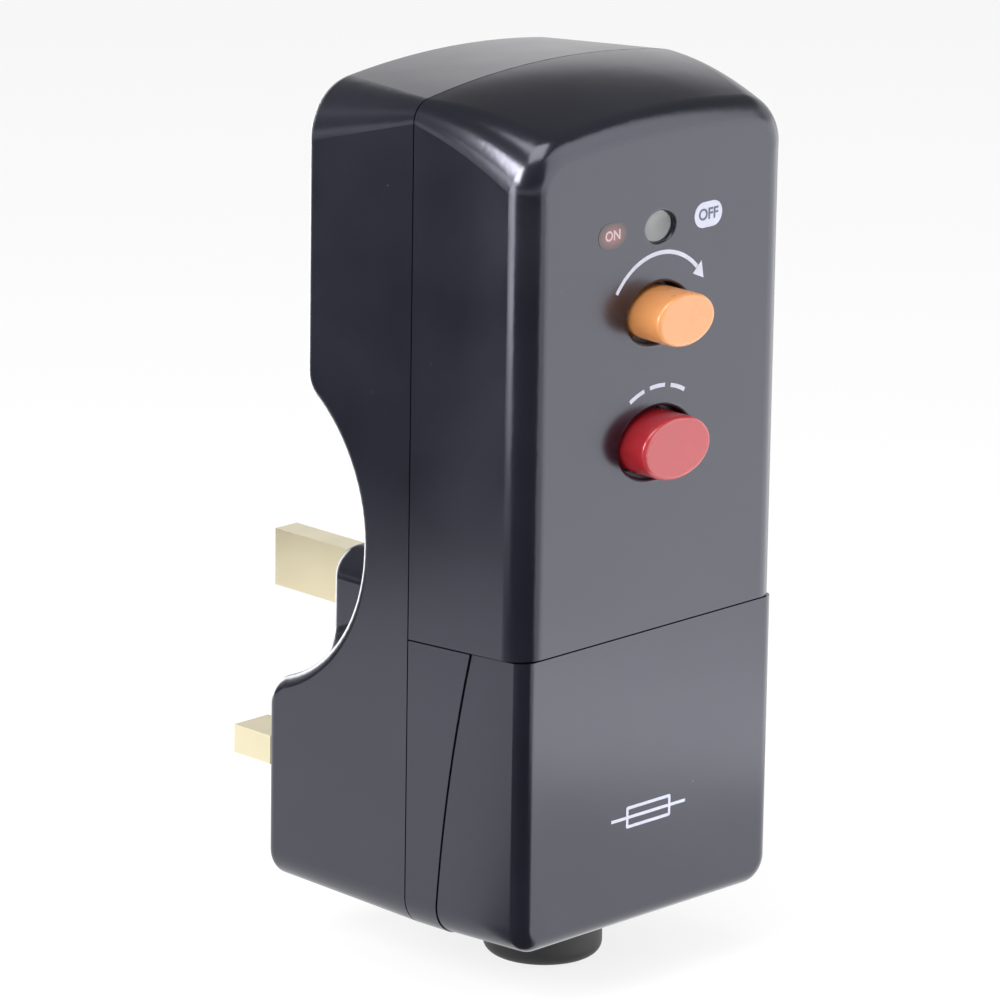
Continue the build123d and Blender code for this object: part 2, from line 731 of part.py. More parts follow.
def board_parts():
    """Loose components soldered to the circuit board."""
    varistor = oval_y(5.0, 5.0, 84.0, board_back, board_back + 3.8, x=-7.5)
    film = block(-18, -6, board_back, board_back + 8.5, 67.5, 75)
    film = fillet(film.faces().sort_by(Axis.Y)[-1].edges(), 0.6)
    can = rod_z(3.1, -7.5, board_back + 3.2, 52.0, 64.0)
    can = chamfer(can.faces().sort_by(Axis.Z)[-1].edges(), 0.4)
    chip = block(13.6, 17.6, board_front - 1.6, board_front - 0.1, 48.0, 53.0)
    for side in (-1, 1):
        for step in range(4):
            z = 48.6 + 1.27 * step
            x = 15.6 + side * 2.5
            chip += block(x - 0.6, x + 0.6, board_front - 0.6, board_front, z - 0.2, z + 0.2)
    diodes = [bead_z(1.35, 14.0, board_front - 1.4, z, z + 5) for z in (36.0, 42.0)]
    diodes += [bead_z(1.35, 18.0, board_front - 1.4, z, z + 5) for z in (38.5, 54.0)]
    resistors = [bead_z(1.1, 10.5, board_front - 1.2, z, z + 6) for z in (38.0, 46.0)]
    resistors += [bead_z(1.1, x, board_front - 1.2, 42.0, 48.0) for x in (-6.0, 6.5)]
    return varistor, film, can, chip, diodes, resistors


def solenoid_pieces():
    x, y = coil_x, coil_y
    low, high = yoke_low_z, yoke_high_z
    thick = yoke_thickness
    back = board_front - snug
    front = y - coil_radius - rest_gap
    yoke = block(x - yoke_half_width, x + yoke_half_width, back - thick, back, low, high)
    for z in (low, high - thick):
        yoke += block(x - yoke_half_width, x + yoke_half_width, front, back, z, z + thick)
    yoke -= rod_z(plunger_radius + 0.4, x, y, high - thick - 0.5, high + 1)
    yoke += rod_z(plunger_radius, x, y, low, low + 6)
    inner_low = low + thick + snug
    inner_high = high - thick - snug
    bobbin = rod_z(2.8, x, y, inner_low, inner_high)
    for z in (inner_low, inner_high - 0.8):
        bobbin += rod_z(coil_radius, x, y, z, z + 0.8)
    bobbin -= rod_z(plunger_radius + free, x, y, low, high)
    coil = rod_z(coil_radius - 0.3, x, y, inner_low + 0.85, inner_high - 0.85)
    coil -= rod_z(2.85, x, y, low, high)
    return yoke, bobbin, coil


def trip_plunger():
    """Steel plunger with the waist that the latch lever's fork holds."""
    x, y = coil_x, coil_y
    body = rod_z(plunger_radius, x, y, yoke_low_z + 6 + plunger_travel + 0.5, fork_low)
    body += rod_z(1.0, x, y, fork_low, fork_high)
    body += rod_z(plunger_radius, x, y, fork_high, plunger_top)
    return body + rod_z(plunger_radius + 0.7, x, y, fork_low - 0.9, fork_low)


def latch_lever():
    """Bell crank: a fork in the plunger's waist and a hook beside the reset stem."""
    x, z = latch_pivot_x, latch_pivot_z
    y0, y1 = latch_back - latch_thickness, latch_back
    tip = -stem_radius - 0.5
    hook_z = reset_z
    outline = [
        (x - 1.2, z - 0.7),
        (x + 1.8, z - 0.9),
        (x + 2.0, z + 1.6),
        (tip - 1.2, hook_z - 1.8),
        (tip, hook_z - 0.8),
        (tip, hook_z + 0.6),
        (tip - 2.4, hook_z + 0.6),
        (x - 1.2, z + 1.6),
    ]
    body = slab_y(make_face(Polyline(*outline, close=True)), y0, y1)
    body += rod_y(1.9, x, z, y0, y1)
    body += block(coil_x + 1.4, x, y0, y1, z - 0.7, z + 0.7)
    fork = block(coil_x - 1.9, coil_x + 1.9, coil_y - 2.3, coil_y + 1.2, z - 0.7, z + 0.7)
    fork -= block(coil_x - 3, coil_x + 1.25, coil_y - 1.2, coil_y + 1.2, z - 2, z + 2)
    body += fork
    return body - rod_y(latch_pin_radius + running, x, z, y0 - 1, y1 + 1)


def mechanism_frame():
    """Moulded bracket on the board: deck, two cheeks, flag guides and the pivots."""
    back = deck_front + deck_thickness
    middle = (deck_low_z + deck_top_z) / 2
    deck = Pos(0, middle) * RectangleRounded(2 * deck_half_width, deck_top_z - deck_low_z, 1.5)
    body = slab_y(deck, deck_front, back)
    for side in (-1, 1):
        x0 = side * deck_half_width - (cheek_thickness if side > 0 else 0)
        cheek = block(x0, x0 + cheek_thickness, back - 0.4, board_front, cheek_low_z, deck_top_z - 1.5)
        body += cheek
    wide = deck_half_width + 1
    body -= rod_x(rocker_pin_radius + snug, rocker_pivot_y, rocker_pivot_z, -wide, wide)
    body -= rod_y(stem_radius + free, 0, reset_z, deck_front - 1, back + 1)
    body -= rod_y(latch_pin_radius + snug, latch_pivot_x, latch_pivot_z, deck_front - 1, back + 1)
    for x in (flag_start_x - 1.2, flag_end_x - 0.4):
        guide = block(x, x + 2, flag_front - 1.0, deck_front + 0.2, flag_low_z + 2, flag_high_z + 2)
        ends = (flag_start_x - rest_gap, flag_end_x + rest_gap)
        groove = block(*ends, flag_front - free, flag_back + free, flag_low_z, flag_high_z + 6)
        body += guide - groove
    return body


def latch_pin():
    return rod_y(latch_pin_radius, latch_pivot_x, latch_pivot_z, deck_front + 0.3, latch_back + 0.8)


def button(z, half_x, half_z, rise):
    """Oval cap with a retaining flange behind the well's floor."""
    cap = oval_y(half_x, half_z, z, front_y - rise, cap_end)
    cap = fillet(cap.faces().sort_by(Axis.Y)[0].edges(), cap_edge_radius)
    back = flange_front + flange_thickness
    return cap + oval_y(half_x + flange_lip, half_z + flange_lip, z, flange_front, back)


def reset_button():
    """Cap, flange, stem with the latch notch, and the arm whose pin drives the flag."""
    body = button(reset_z, reset_half_width, reset_half_height, reset_rise)
    back = flange_front + flange_thickness
    stem_end = rocker_face - stem_rest_gap
    body += rod_y(stem_radius, 0, reset_z, back, stem_end - 2.6)
    body += rod_y(nose_radius, 0, reset_z, back, stem_end)
    notch = latch_back - reset_travel - latch_thickness - 0.3
    body -= ring_y(stem_radius + 1, stem_radius - 0.7, 0, reset_z, notch, notch + latch_thickness + 0.6)
    arm_x = reset_half_width + 0.3
    body += block(arm_x - 1.4, arm_x + 1.2, flange_front, flag_back + 2.6, reset_z - 1, reset_z + 3)
    body += block(arm_x - 0.1, arm_x + 1.2, flag_back + 0.5, flag_back + 2.6, reset_z - 1, drive_pin_z + 1)
    return body + rod_x(drive_pin_radius, drive_pin_y, drive_pin_z, arm_x, flag_web_x + 1.2)


def test_button():
    body = button(test_z, test_half_width, test_half_height, test_rise)
    back = flange_front + flange_thickness
    return body + block(-2, 2, back, blade_top - rest_gap, test_z - 1.5, test_z + 1.5)


def indicator_flag():
    """Two-tone flag: the plate in the guides, and the web with the slanted slot behind it."""
    body = block(flag_start_x, flag_end_x, flag_front, flag_back, flag_low_z, flag_high_z)
    body -= flag_patch_block()
    web = block(flag_web_x, flag_web_x + 1, flag_back, deck_front - 0.3, flag_low_z - 1.5, flag_high_z)
    body += web
    slope = flag_travel / reset_travel
    over = 0.6
    start = (drive_pin_y - over, drive_pin_z + over * slope)
    end = (drive_pin_y + reset_travel + over, drive_pin_z - flag_travel - over * slope)
    sheet = trace(Line(start, end), 2 * (drive_pin_radius + free))
    body -= slab_x(sheet, flag_web_x - 1, flag_web_x + 2)
    return body


def flag_patch_block():
    half = window_half_width + 1.2
    return block(-half, half, flag_front, flag_front + 0.5, flag_low_z + 0.4, flag_low_z + flag_travel)


def window_lens():
    half_x, half_z = window_half_width - snug, window_half_height - snug
    body = oval_y(half_x, half_z, window_z, front_y + lens_sink, lens_end)
    return fillet(body.faces().sort_by(Axis.Y)[0].edges(), 0.5)


def contact_rocker():
    half = rocker_thickness / 2
    y, z = rocker_pivot_y, rocker_pivot_z
    body = block(-rocker_half_width, rocker_half_width, y - half, y + half, rocker_low_z, rocker_top_z)
    body = fillet(body.edges().filter_by(Axis.Y), 1.5)
    body += rod_x(rocker_hub_radius, y, z, -rocker_half_width, rocker_half_width)
    return body - rod_x(rocker_pin_radius + running, y, z, -rocker_half_width - 1, rocker_half_width + 1)


def moving_contact(x):
    front = rocker_face
    leaf = block(x - 2, x + 2, front - 0.4, front, rocker_pivot_z + 2.2, contact_z + 2)
    return leaf + rod_y(1.6, x, contact_z, front - 1.0, front - 0.4)


def fixed_contact(x):
    """Bracket from the board, over the top of the rocker, to the silver face in front of it."""
    back = deck_front + deck_thickness
    top = deck_top_z + 1.6
    plate = block(x - 2, x + 2, back, back + 0.5, contact_z - 2.6, top)
    plate += block(x - 2, x + 2, back, board_front, top - 0.5, top)
    return plate + rod_y(1.6, x, contact_z - 0.7, back + 0.5, back + 1.0)


def test_blade():
    """Leaf spring from the board to under the test button's foot."""
    body = block(-2, 2, blade_top, board_front, 43.6, 44.0)
    return body + block(-2, 2, blade_top, blade_top + 0.4, 43.6, test_z + 3)


# Places worked out from the sizes above
reset_well_x = reset_half_width + reset_gap_x
reset_well_z = reset_half_height + reset_gap_z
test_well_x = test_half_width + test_gap
test_well_z = test_half_height + test_gap
tray_base_z = base_z + wall + tray_base_gap
fuse_y = strap_front - fuse_radius - fuse_seat
crown_low_z = crown_top - front_fall - end_corner - 3.0
draft_loss = -seam_y * tan(radians(draft))
well_floor = front_y + well_depth + wall
flange_front = well_floor + rest_gap
cap_end = flange_front + 0.1
lens_end = front_y + lens_sink + lens_length
board_back = board_front + board_thickness
board_post_x = 17.0
board_post_z = 62.0
low_post_z = 38.0
board_screws = [(-board_post_x, board_post_z), (board_post_x, board_post_z), (0, low_post_z)]
retainer_back = -pin_face_wall - pin_flange - 0.1
retainer_posts = (-15.2, 15.2)
retainer_screw_z = 6.6
retainer_neck_low = 2.0
retainer_neck_width = 12.0
retainer_thickness = 1.5
cover_front = front_y + cover_step
cover_roof_z = panel_seam_z - seam_gap - tray_wall - 1.5
cover_boss_end = -36.5
cover_screw_tip = cover_boss_end - 4.5
head_screw_tip = seam_y - 8
tray_inner = tray_half_width - tray_wall
tray_floor = tray_back - 2.0
feed_x = 18.2
strap_top = 35.0
fuse_clip_low = fuse_mid_z - fuse_length / 2 + fuse_cap_length / 2
fuse_clip_high = fuse_mid_z + fuse_length / 2 - fuse_cap_length / 2
terminal_mid_z = (terminal_low_z + terminal_high_z) / 2
grip_mid_z = (grip_low_z + grip_high_z) / 2
rocker_face = rocker_pivot_y - rocker_thickness / 2
fork_low = latch_pivot_z - 1.7
fork_high = latch_pivot_z + 1.7
flag_front = well_floor + rest_gap
flag_back = flag_front + 1.0
flag_travel = 4.4
flag_start_x = -6.2
flag_low_z = window_z - 1.5 * flag_travel + 0.2
flag_high_z = window_z + 0.5 * flag_travel
flag_web_x = reset_half_width + 2.1
flag_end_x = flag_web_x + 1.9
drive_pin_radius = 0.7
drive_pin_y = flag_back + 1.55
drive_pin_z = flag_low_z + 5.4
blade_top = -35.7


def write_case():
    save("rear_housing", rear_housing())
    save("front_housing", front_housing())
    save("terminal_tray", terminal_tray())
    save("terminal_cover", terminal_cover())
    save("cord_inlet_bush", cord_inlet_bush())
    head_seat = -head_setback - case_head_height
    screws = []
    for side in (-1, 1):
        for x, z, seat, tip in (
            (head_screw_x, head_screw_z, head_seat, head_screw_tip),
            (base_screw_x, base_screw_z, -case_head_height, tray_floor - 6),
        ):
            screws.append(screw_y(case_shank, case_head, case_head_height - 0.1, side * x, z, seat, tip))
    save("case_screws", *screws)
    seat = -case_head_height
    height = case_head_height - 0.1
    save("cover_screw", screw_y(case_shank, case_head, height, 0, cover_screw_z, seat, cover_screw_tip))


def write_pins():
    places = pin_places()
    save("earth_pin", plug_pin(places["earth"], earth_pin_reach, False))
    save("neutral_pin", plug_pin(places["neutral"], flat_pin_reach, True))
    save("live_pin", plug_pin(places["live"], flat_pin_reach, True))
    save("pin_sleeves", pin_sleeve(places["neutral"]), pin_sleeve(places["live"]))
    save("pin_retainer", pin_retainer())
    seat = retainer_back - retainer_thickness
    screws = []
    for x in retainer_posts:
        screws.append(screw_y(small_shank, small_head, small_head_height, x, retainer_screw_z, seat, -1.6))
    save("retainer_screws", *screws)


def write_wiring():
    inlet, neutral, feed, bars, earth = strap_pieces()
    save("live_inlet_strap", inlet)
    save("neutral_feed_strap", neutral)
    save("live_feed_strap", feed)
    save("load_bars", *bars)
    save("earth_strap", earth)
    for name in terminal_x:
        save(f"{name}_terminal", terminal(name))
    front = strap_front - terminal_depth
    screws = []
    for x in terminal_x.values():
        screws.append(slotted_screw(x, terminal_mid_z, front - 0.5, front + 3.4, case_shank, 2.4))
    save("terminal_screws", *screws)
    save("fuse_body", fuse_body())
    save("fuse_caps", fuse_cap(-1), fuse_cap(1))
    save("fuse_clips", fuse_clip(fuse_clip_low), fuse_clip(fuse_clip_high))
    save("cord_grip_bar", cord_grip_bar())
    seat = grip_split_y - grip_bar_depth
    grips = []
    for x in (-grip_screw_x, grip_screw_x):
        grips.append(slotted_screw(x, grip_mid_z, seat, grip_split_y + 8, small_shank, small_head))
    save("cord_grip_screws", *grips)


def write_board():
    save("circuit_board", circuit_board())
    tips = [board_back + 5 if z > scoop_z + 10 else -19.6 for x, z in board_screws]
    screws = [
        screw_y(small_shank, small_head, small_head_height, x, z, board_front, tip)
        for (x, z), tip in zip(board_screws, tips)
    ]
    save("board_screws", *screws)
    core, winding, links = sensing_pieces()
    save("sensing_core", core)
    save("sensing_winding", winding)
    save("primary_links", *links)
    varistor, film, can, chip, diodes, resistors = board_parts()
    save("varistor", varistor)
    save("film_capacitor", film)
    save("reservoir_capacitor", can)
    save("trip_chip", chip)
    save("diodes", *diodes)
    save("resistors", *resistors)


def write_mechanism():
    yoke, bobbin, coil = solenoid_pieces()
    save("solenoid_yoke", yoke)
    save("solenoid_bobbin", bobbin)
    save("solenoid_coil", coil)
    save("trip_plunger", trip_plunger())
    spring = coil_spring(2.4, 0.35, 2.5, fork_low - 0.9 - yoke_high_z - 0.1)
    save("plunger_spring", Pos(coil_x, coil_y, yoke_high_z + 0.05) * spring)
    save("latch_lever", latch_lever())
    save("latch_pin", latch_pin())
    save("mechanism_frame", mechanism_frame())
    save("reset_button", reset_button())
    back = flange_front + flange_thickness
    spring = coil_spring(2.9, 0.5, 3.5, deck_front - back - 0.1)
    save("reset_spring", along_y(spring, 0, back + 0.05, reset_z))
    save("contact_rocker", contact_rocker())
    wide = deck_half_width
    save("rocker_pin", rod_x(rocker_pin_radius, rocker_pivot_y, rocker_pivot_z, -wide, wide))
    seat = rocker_pivot_y + rocker_thickness / 2
    spring = coil_spring(1.7, 0.35, 2.5, board_front - seat - 0.1)
    save("opening_spring", along_y(spring, 0, seat + 0.05, 75.0))
    save("moving_contacts", moving_contact(-contact_x), moving_contact(contact_x))
    save("fixed_contacts", fixed_contact(-contact_x), fixed_contact(contact_x))


def write_controls():
    save("indicator_flag", indicator_flag())
    save("flag_orange_patch", flag_patch_block())
    save("window_lens", window_lens())
    save("test_button", test_button())
    save("test_blade", test_blade())
    save("test_contact_post", rod_y(0.8, 0, test_z + 1.5, blade_top + 0.4 + test_travel + 0.1, board_front))
    save("test_resistor", rod_z(1.3, 4.6, board_front - 1.5, 52.0, 58.5))


os.makedirs("parts", exist_ok=True)
write_case()
write_pins()
write_wiring()
write_board()
write_mechanism()
write_controls()
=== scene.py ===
"""Looks, lights and camera for the residual current device plug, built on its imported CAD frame."""
import json
from math import cos, pi, radians, sin

import bmesh
import bpy
from mathutils import Matrix, Vector


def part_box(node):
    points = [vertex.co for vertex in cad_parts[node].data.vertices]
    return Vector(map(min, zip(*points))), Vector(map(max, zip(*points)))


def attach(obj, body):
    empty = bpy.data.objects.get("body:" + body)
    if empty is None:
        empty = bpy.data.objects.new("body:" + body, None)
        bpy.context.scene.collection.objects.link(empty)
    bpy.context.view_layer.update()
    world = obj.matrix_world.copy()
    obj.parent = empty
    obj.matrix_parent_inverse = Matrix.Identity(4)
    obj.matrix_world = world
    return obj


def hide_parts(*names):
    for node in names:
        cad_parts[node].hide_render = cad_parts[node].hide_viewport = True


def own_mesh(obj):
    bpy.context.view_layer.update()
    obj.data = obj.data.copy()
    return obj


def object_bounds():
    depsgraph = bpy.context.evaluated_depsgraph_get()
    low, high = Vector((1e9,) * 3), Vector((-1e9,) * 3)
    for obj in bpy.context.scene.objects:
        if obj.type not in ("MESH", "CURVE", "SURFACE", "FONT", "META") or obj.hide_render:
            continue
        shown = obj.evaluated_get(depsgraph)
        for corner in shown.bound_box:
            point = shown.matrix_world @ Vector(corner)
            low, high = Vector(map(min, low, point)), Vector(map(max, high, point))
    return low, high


MM = 0.001

# Camera, as fitted to the photograph
CAMERA_AZIMUTH = -45.53
CAMERA_ELEVATION = 16.01
CAMERA_ROLL = 0.88
CAMERA_DISTANCE = 946.45 * MM
CAMERA_ASIDE = -3.49 * MM
CAMERA_RAISED = 38.18 * MM
CAMERA_AIM = Vector((0, -25, 0)) * MM
CAMERA_CLIP = (0.05, 20)
SENSOR = 36.0
LENS = 255.4

# Colours, linear
CASE_BLACK = (0.0060, 0.0062, 0.0105)
CASE_GLOSS = (0.84, 0.85, 1.0)
CASE_DUST = (0.30, 0.30, 0.32)
LENS_TINT = (0.70, 0.71, 0.74)
FLAG_ORANGE = (0.85, 0.25, 0.03)
COIL_COPPER = (0.74, 0.33, 0.14)
BOARD_RESIST = (0.010, 0.085, 0.035)
BOARD_TRACK = (0.030, 0.17, 0.06)
# Painted shade: the dark of the screw recesses, painted on thin plates on the heads
RECESS_SHADE = (0.06, 0.06, 0.058)
PRINT_WHITE = (0.50, 0.52, 0.62)
PRINT_RED = (0.19, 0.050, 0.052)
PRINT_PALE = (0.50, 0.38, 0.40)
PRINT_DARK = (0.09, 0.09, 0.16)
FLOOR_WHITE = (0.88, 0.88, 0.88)
PURE_WHITE = (1, 1, 1)

# Moulded slots: colour and roughness
MOULDED = {
    "inlet_black": ((0.012, 0.012, 0.014), 0.50),
    "sleeve_black": ((0.018, 0.018, 0.020), 0.45),
    "retainer_grey": ((0.25, 0.26, 0.28), 0.40),
    "frame_white": ((0.72, 0.72, 0.68), 0.40),
    "lever_grey": ((0.34, 0.35, 0.37), 0.40),
    "flag_black": ((0.012, 0.012, 0.012), 0.50),
    "fuse_ceramic": ((0.80, 0.77, 0.68), 0.25),
    "varistor_blue": ((0.02, 0.08, 0.32), 0.35),
    "capacitor_box": ((0.66, 0.50, 0.08), 0.35),
    "capacitor_can": ((0.015, 0.02, 0.05), 0.30),
    "chip_black": ((0.015, 0.015, 0.016), 0.50),
    "resistor_tan": ((0.60, 0.44, 0.25), 0.30),
}

# Button slots, smoother and glossier than the moulded ones: colour and roughness
BUTTONS = {
    "reset_orange": ((0.60, 0.25, 0.085), 0.28),
    "test_red": ((0.34, 0.017, 0.025), 0.26),
}

# Metal slots: colour, roughness and how the fine lines are drawn out
LINES_ALONG_Y = (1, 0.05, 1)
LINES_ALONG_Z = (1, 1, 0.05)
METALS = {
    "pin_brass": ((0.90, 0.81, 0.57), 0.24, LINES_ALONG_Y),
    "zinc_screw": ((0.66, 0.66, 0.62), 0.32, LINES_ALONG_Y),
    "strap_brass": ((0.80, 0.64, 0.34), 0.34, LINES_ALONG_Z),
    "terminal_brass": ((0.84, 0.68, 0.38), 0.25, LINES_ALONG_Y),
    "fuse_nickel": ((0.80, 0.78, 0.74), 0.18, LINES_ALONG_Z),
    "clip_bronze": ((0.72, 0.46, 0.26), 0.32, LINES_ALONG_Y),
    "core_nickel": ((0.36, 0.36, 0.38), 0.42, LINES_ALONG_Y),
    "yoke_steel": ((0.62, 0.62, 0.60), 0.36, LINES_ALONG_Z),
    "spring_steel": ((0.68, 0.68, 0.68), 0.26, LINES_ALONG_Y),
    "pivot_steel": ((0.74, 0.74, 0.74), 0.18, LINES_ALONG_Y),
    "contact_silver": ((0.86, 0.86, 0.84), 0.20, LINES_ALONG_Y),
}

# Heights of the bumps in the materials
GRAIN_HEIGHT = 0.05 * MM
INK_GRAIN_HEIGHT = 0.02 * MM
WIRE_HEIGHT = 0.1 * MM
LENS_WAVE_HEIGHT = 0.5 * MM

# Print on the front; places are in the frame's X and Z
INK_LIFT = 0.015 * MM
INK_DEPTH = 0.04 * MM
CORNER_STEPS = 8
BAND_STEPS = 40
LABEL_X = 8.9 * MM
LABEL_Z = 81.15 * MM
LABEL_HALF_WIDTH = 2.6 * MM
LABEL_HALF_HEIGHT = 1.7 * MM
LABEL_FADE = 1.3
ON_SIZE = 1.8 * MM
OFF_SIZE = 2.1 * MM
LETTER_WEIGHT = 0.04 * MM

# Arrow over the reset button and bars over the test button; angles are in degrees
ARC_WIDTH = 0.55 * MM
ARROW_CENTRE_Z = 67.9 * MM
ARROW_RADIUS = 9.6 * MM
ARROW_TAIL = 146
ARROW_NECK = 43
ARROW_TIP = 31
ARROW_GAP = 0.5
BARS_CENTRE_Z = 49.6 * MM
BARS_RADIUS = 10.2 * MM
BARS = (68, 90, 112)
BAR_HALF = 8
BAR_STEPS = 8

# Fuse symbol
FUSE_Z = 2.0 * MM
FUSE_HALF_X = 4.2 * MM
FUSE_HALF_Z = 1.5 * MM
FUSE_LINE = 0.42 * MM
FUSE_LEAD = 1.4 * MM
FUSE_GAP = 0.01 * MM
FUSE_OUTER_CORNER = 0.3 * MM
FUSE_INNER_CORNER = 0.1 * MM
FUSE_LEAD_CORNER = 0.05 * MM

# Window lens: its dish, and how far out each ring of its front face lies
LENS_DISH = 1.1 * MM
LENS_SIDES = 48
LENS_ROWS = (0.08, 0.25, 0.42, 0.58, 0.72, 0.84, 0.93, 1.0)

# Springs that a joint presses: joint, axis pressed along, held end (0 low, 1 high) and travel
PRESSED = {
    "reset_spring": ("reset_press", 1, 1, 3.0 * MM),
    "opening_spring": ("rocker_turn", 1, 1, 2.0 * MM),
    "plunger_spring": ("trip_pull", 2, 0, 2.0 * MM),
    "test_blade": ("test_press", 1, 1, 1.8 * MM),
}

# Screw recesses, drawn as thin plates of painted shade; the arms are shares of the head's radius
SCREW_SLOT = "zinc_screw"
SAME_POINT = 0.001 * MM
END_SKIN = 0.25 * MM
RECESS_PLATE = 0.02 * MM
RECESS_ARM = 0.62
RECESS_HALF = 0.14

# Studio
LIGHT_AIM = (0, -25 * MM, 45 * MM)
CORNER = (-22 * MM, -38 * MM)
FLOOR_REACH = 6.0
FLOOR_GAP = 0.2 * MM
FLOOR_GLOW = 0.82
CARD_LIFT = 0.5 * MM
CARD_STEPS = 24
AWAY_FROM_CAMERA = (0.714, 0.700, 0.0)
BEHIND = (0.15, 0.50)
HORIZON_TOP = (0.30, 0.43)
GLOSS_ABOVE = 0.20
GLOSS_FRONT = 0.10
ROOM_LIGHT = 0.30
BACKGROUND = 1.0

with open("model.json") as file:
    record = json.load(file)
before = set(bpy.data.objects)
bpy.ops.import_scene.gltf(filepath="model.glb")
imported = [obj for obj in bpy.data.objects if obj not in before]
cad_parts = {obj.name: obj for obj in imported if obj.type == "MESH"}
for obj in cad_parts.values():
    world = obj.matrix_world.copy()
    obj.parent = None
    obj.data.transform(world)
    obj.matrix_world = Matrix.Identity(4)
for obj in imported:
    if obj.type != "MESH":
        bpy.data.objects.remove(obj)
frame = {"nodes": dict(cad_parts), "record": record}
cad_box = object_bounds()
nodes = frame["nodes"]
slots = {subpart["node"]: subpart["material_slot"] for subpart in frame["record"]["subparts"]}
floor_z = cad_box[0][2]
frame_lens = bpy.data.materials["lens_clear"]


def emptied(owner):
    """The node tree of a material or of the world, without its usual nodes."""
    owner.use_nodes = True
    owner.node_tree.nodes.clear()
    return owner.node_tree


def new_object(name, data):
    """An object in the scene that shows a mesh, a curve, a lamp or a camera."""
    thing = bpy.data.objects.new(name, data)
    bpy.context.scene.collection.objects.link(thing)
    return thing


def new_mesh(name, form):
    """A mesh with the form's faces. The form is used up."""
    mesh = bpy.data.meshes.new(name)
    form.to_mesh(mesh)
    form.free()
    return mesh


def new_piece(name, data, place=Matrix()):
    """An object that moves with the casing."""
    piece = new_object(name, data)
    piece.matrix_world = place
    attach(piece, "case")
    return piece


class Shade:
    """A node material in the making, with a short call for each kind of node it needs."""

    def __init__(self, name):
        self.material = bpy.data.materials.new(name)
        self.tree = emptied(self.material)
        self.output = self.tree.nodes.new("ShaderNodeOutputMaterial")
        self.surface = self.tree.nodes.new("ShaderNodeBsdfPrincipled")
        self.link(self.surface.outputs["BSDF"], self.output.inputs["Surface"])

    def link(self, out, into):
        self.tree.links.new(out, into)

    def set(self, **values):
        """Sets the surface's own sockets, named with _ for each space."""
        for key, value in values.items():
            socket = self.surface.inputs[key.replace("_", " ")]
            socket.default_value = (*value, 1.0) if isinstance(value, tuple) else value

    def place(self, scale=(1, 1, 1), turn=(0, 0, 0)):
        """Object coordinates, stretched by scale and turned."""
        coords = self.tree.nodes.new("ShaderNodeTexCoord")
        mapping = self.tree.nodes.new("ShaderNodeMapping")
        mapping.inputs["Scale"].default_value = scale
        mapping.inputs["Rotation"].default_value = turn
        self.link(coords.outputs["Object"], mapping.inputs["Vector"])
        return mapping.outputs["Vector"]

    def noise(self, per_metre, detail, stretch=(1, 1, 1)):
        node = self.tree.nodes.new("ShaderNodeTexNoise")
        node.inputs["Scale"].default_value = per_metre
        node.inputs["Detail"].default_value = detail
        self.link(self.place(stretch), node.inputs["Vector"])
        return node.outputs["Fac"]

    def spots(self, per_metre, size):
        """Sparse round spots: 1 inside a spot, 0 between spots."""
        cells = self.tree.nodes.new("ShaderNodeTexVoronoi")
        cells.inputs["Scale"].default_value = per_metre
        self.link(self.place(), cells.inputs["Vector"])
        return self.spread(cells.outputs["Distance"], low=size, high=size / 2)

    def spread(self, value, low, high, to_low=0.0, to_high=1.0):
        """Maps the range low to high of a value onto to_low to to_high."""
        node = self.tree.nodes.new("ShaderNodeMapRange")
        self.link(value, node.inputs["Value"])
        node.inputs["From Min"].default_value = low
        node.inputs["From Max"].default_value = high
        node.inputs["To Min"].default_value = to_low
        node.inputs["To Max"].default_value = to_high
        return node.outputs["Result"]

    def mix(self, factor, color_a, color_b):
        """Goes from color_a to color_b as the factor goes from 0 to 1; each is a colour or a socket."""
        node = self.tree.nodes.new("ShaderNodeMix")
        node.data_type = "RGBA"
        self.link(factor, node.inputs["Factor"])
        for key, color in (("A", color_a), ("B", color_b)):
            socket = [s for s in node.inputs if s.name == key and s.type == "RGBA"][0]
            if isinstance(color, tuple):
                socket.default_value = (*color, 1.0)
            else:
                self.link(color, socket)
        return [s for s in node.outputs if s.type == "RGBA"][0]

    def paint(self, color):
        self.link(color, self.surface.inputs["Base Color"])

    def dull(self, roughness):
        self.link(roughness, self.surface.inputs["Roughness"])

    def bump(self, height, strength, distance):
        node = self.tree.nodes.new("ShaderNodeBump")
        node.inputs["Strength"].default_value = strength
        node.inputs["Distance"].default_value = distance
        self.link(height, node.inputs["Height"])
        self.link(node.outputs["Normal"], self.surface.inputs["Normal"])


def scaled(color, factor):
    return tuple(min(1.0, c * factor) for c in color)


def case_plastic():
    """Glossy moulded black with a faint orange peel, hand haze and specks of dust."""
    shade = Shade("case_plastic")
    haze = shade.noise(per_metre=45, detail=4.0)
    peel = shade.noise(per_metre=2600, detail=2.0)
    dusty = shade.spots(per_metre=210, size=0.016)
    patches = shade.spread(haze, low=0.35, high=0.7)
    clean = shade.mix(patches, scaled(CASE_BLACK, 0.85), scaled(CASE_BLACK, 1.25))
    shade.paint(shade.mix(dusty, clean, CASE_DUST))
    shade.dull(shade.spread(haze, low=0.3, high=0.75, to_low=0.19, to_high=0.26))
    shade.bump(peel, strength=0.08, distance=GRAIN_HEIGHT)
    shade.set(IOR=1.5, Specular_IOR_Level=0.85, Specular_Tint=CASE_GLOSS)
    return shade.material


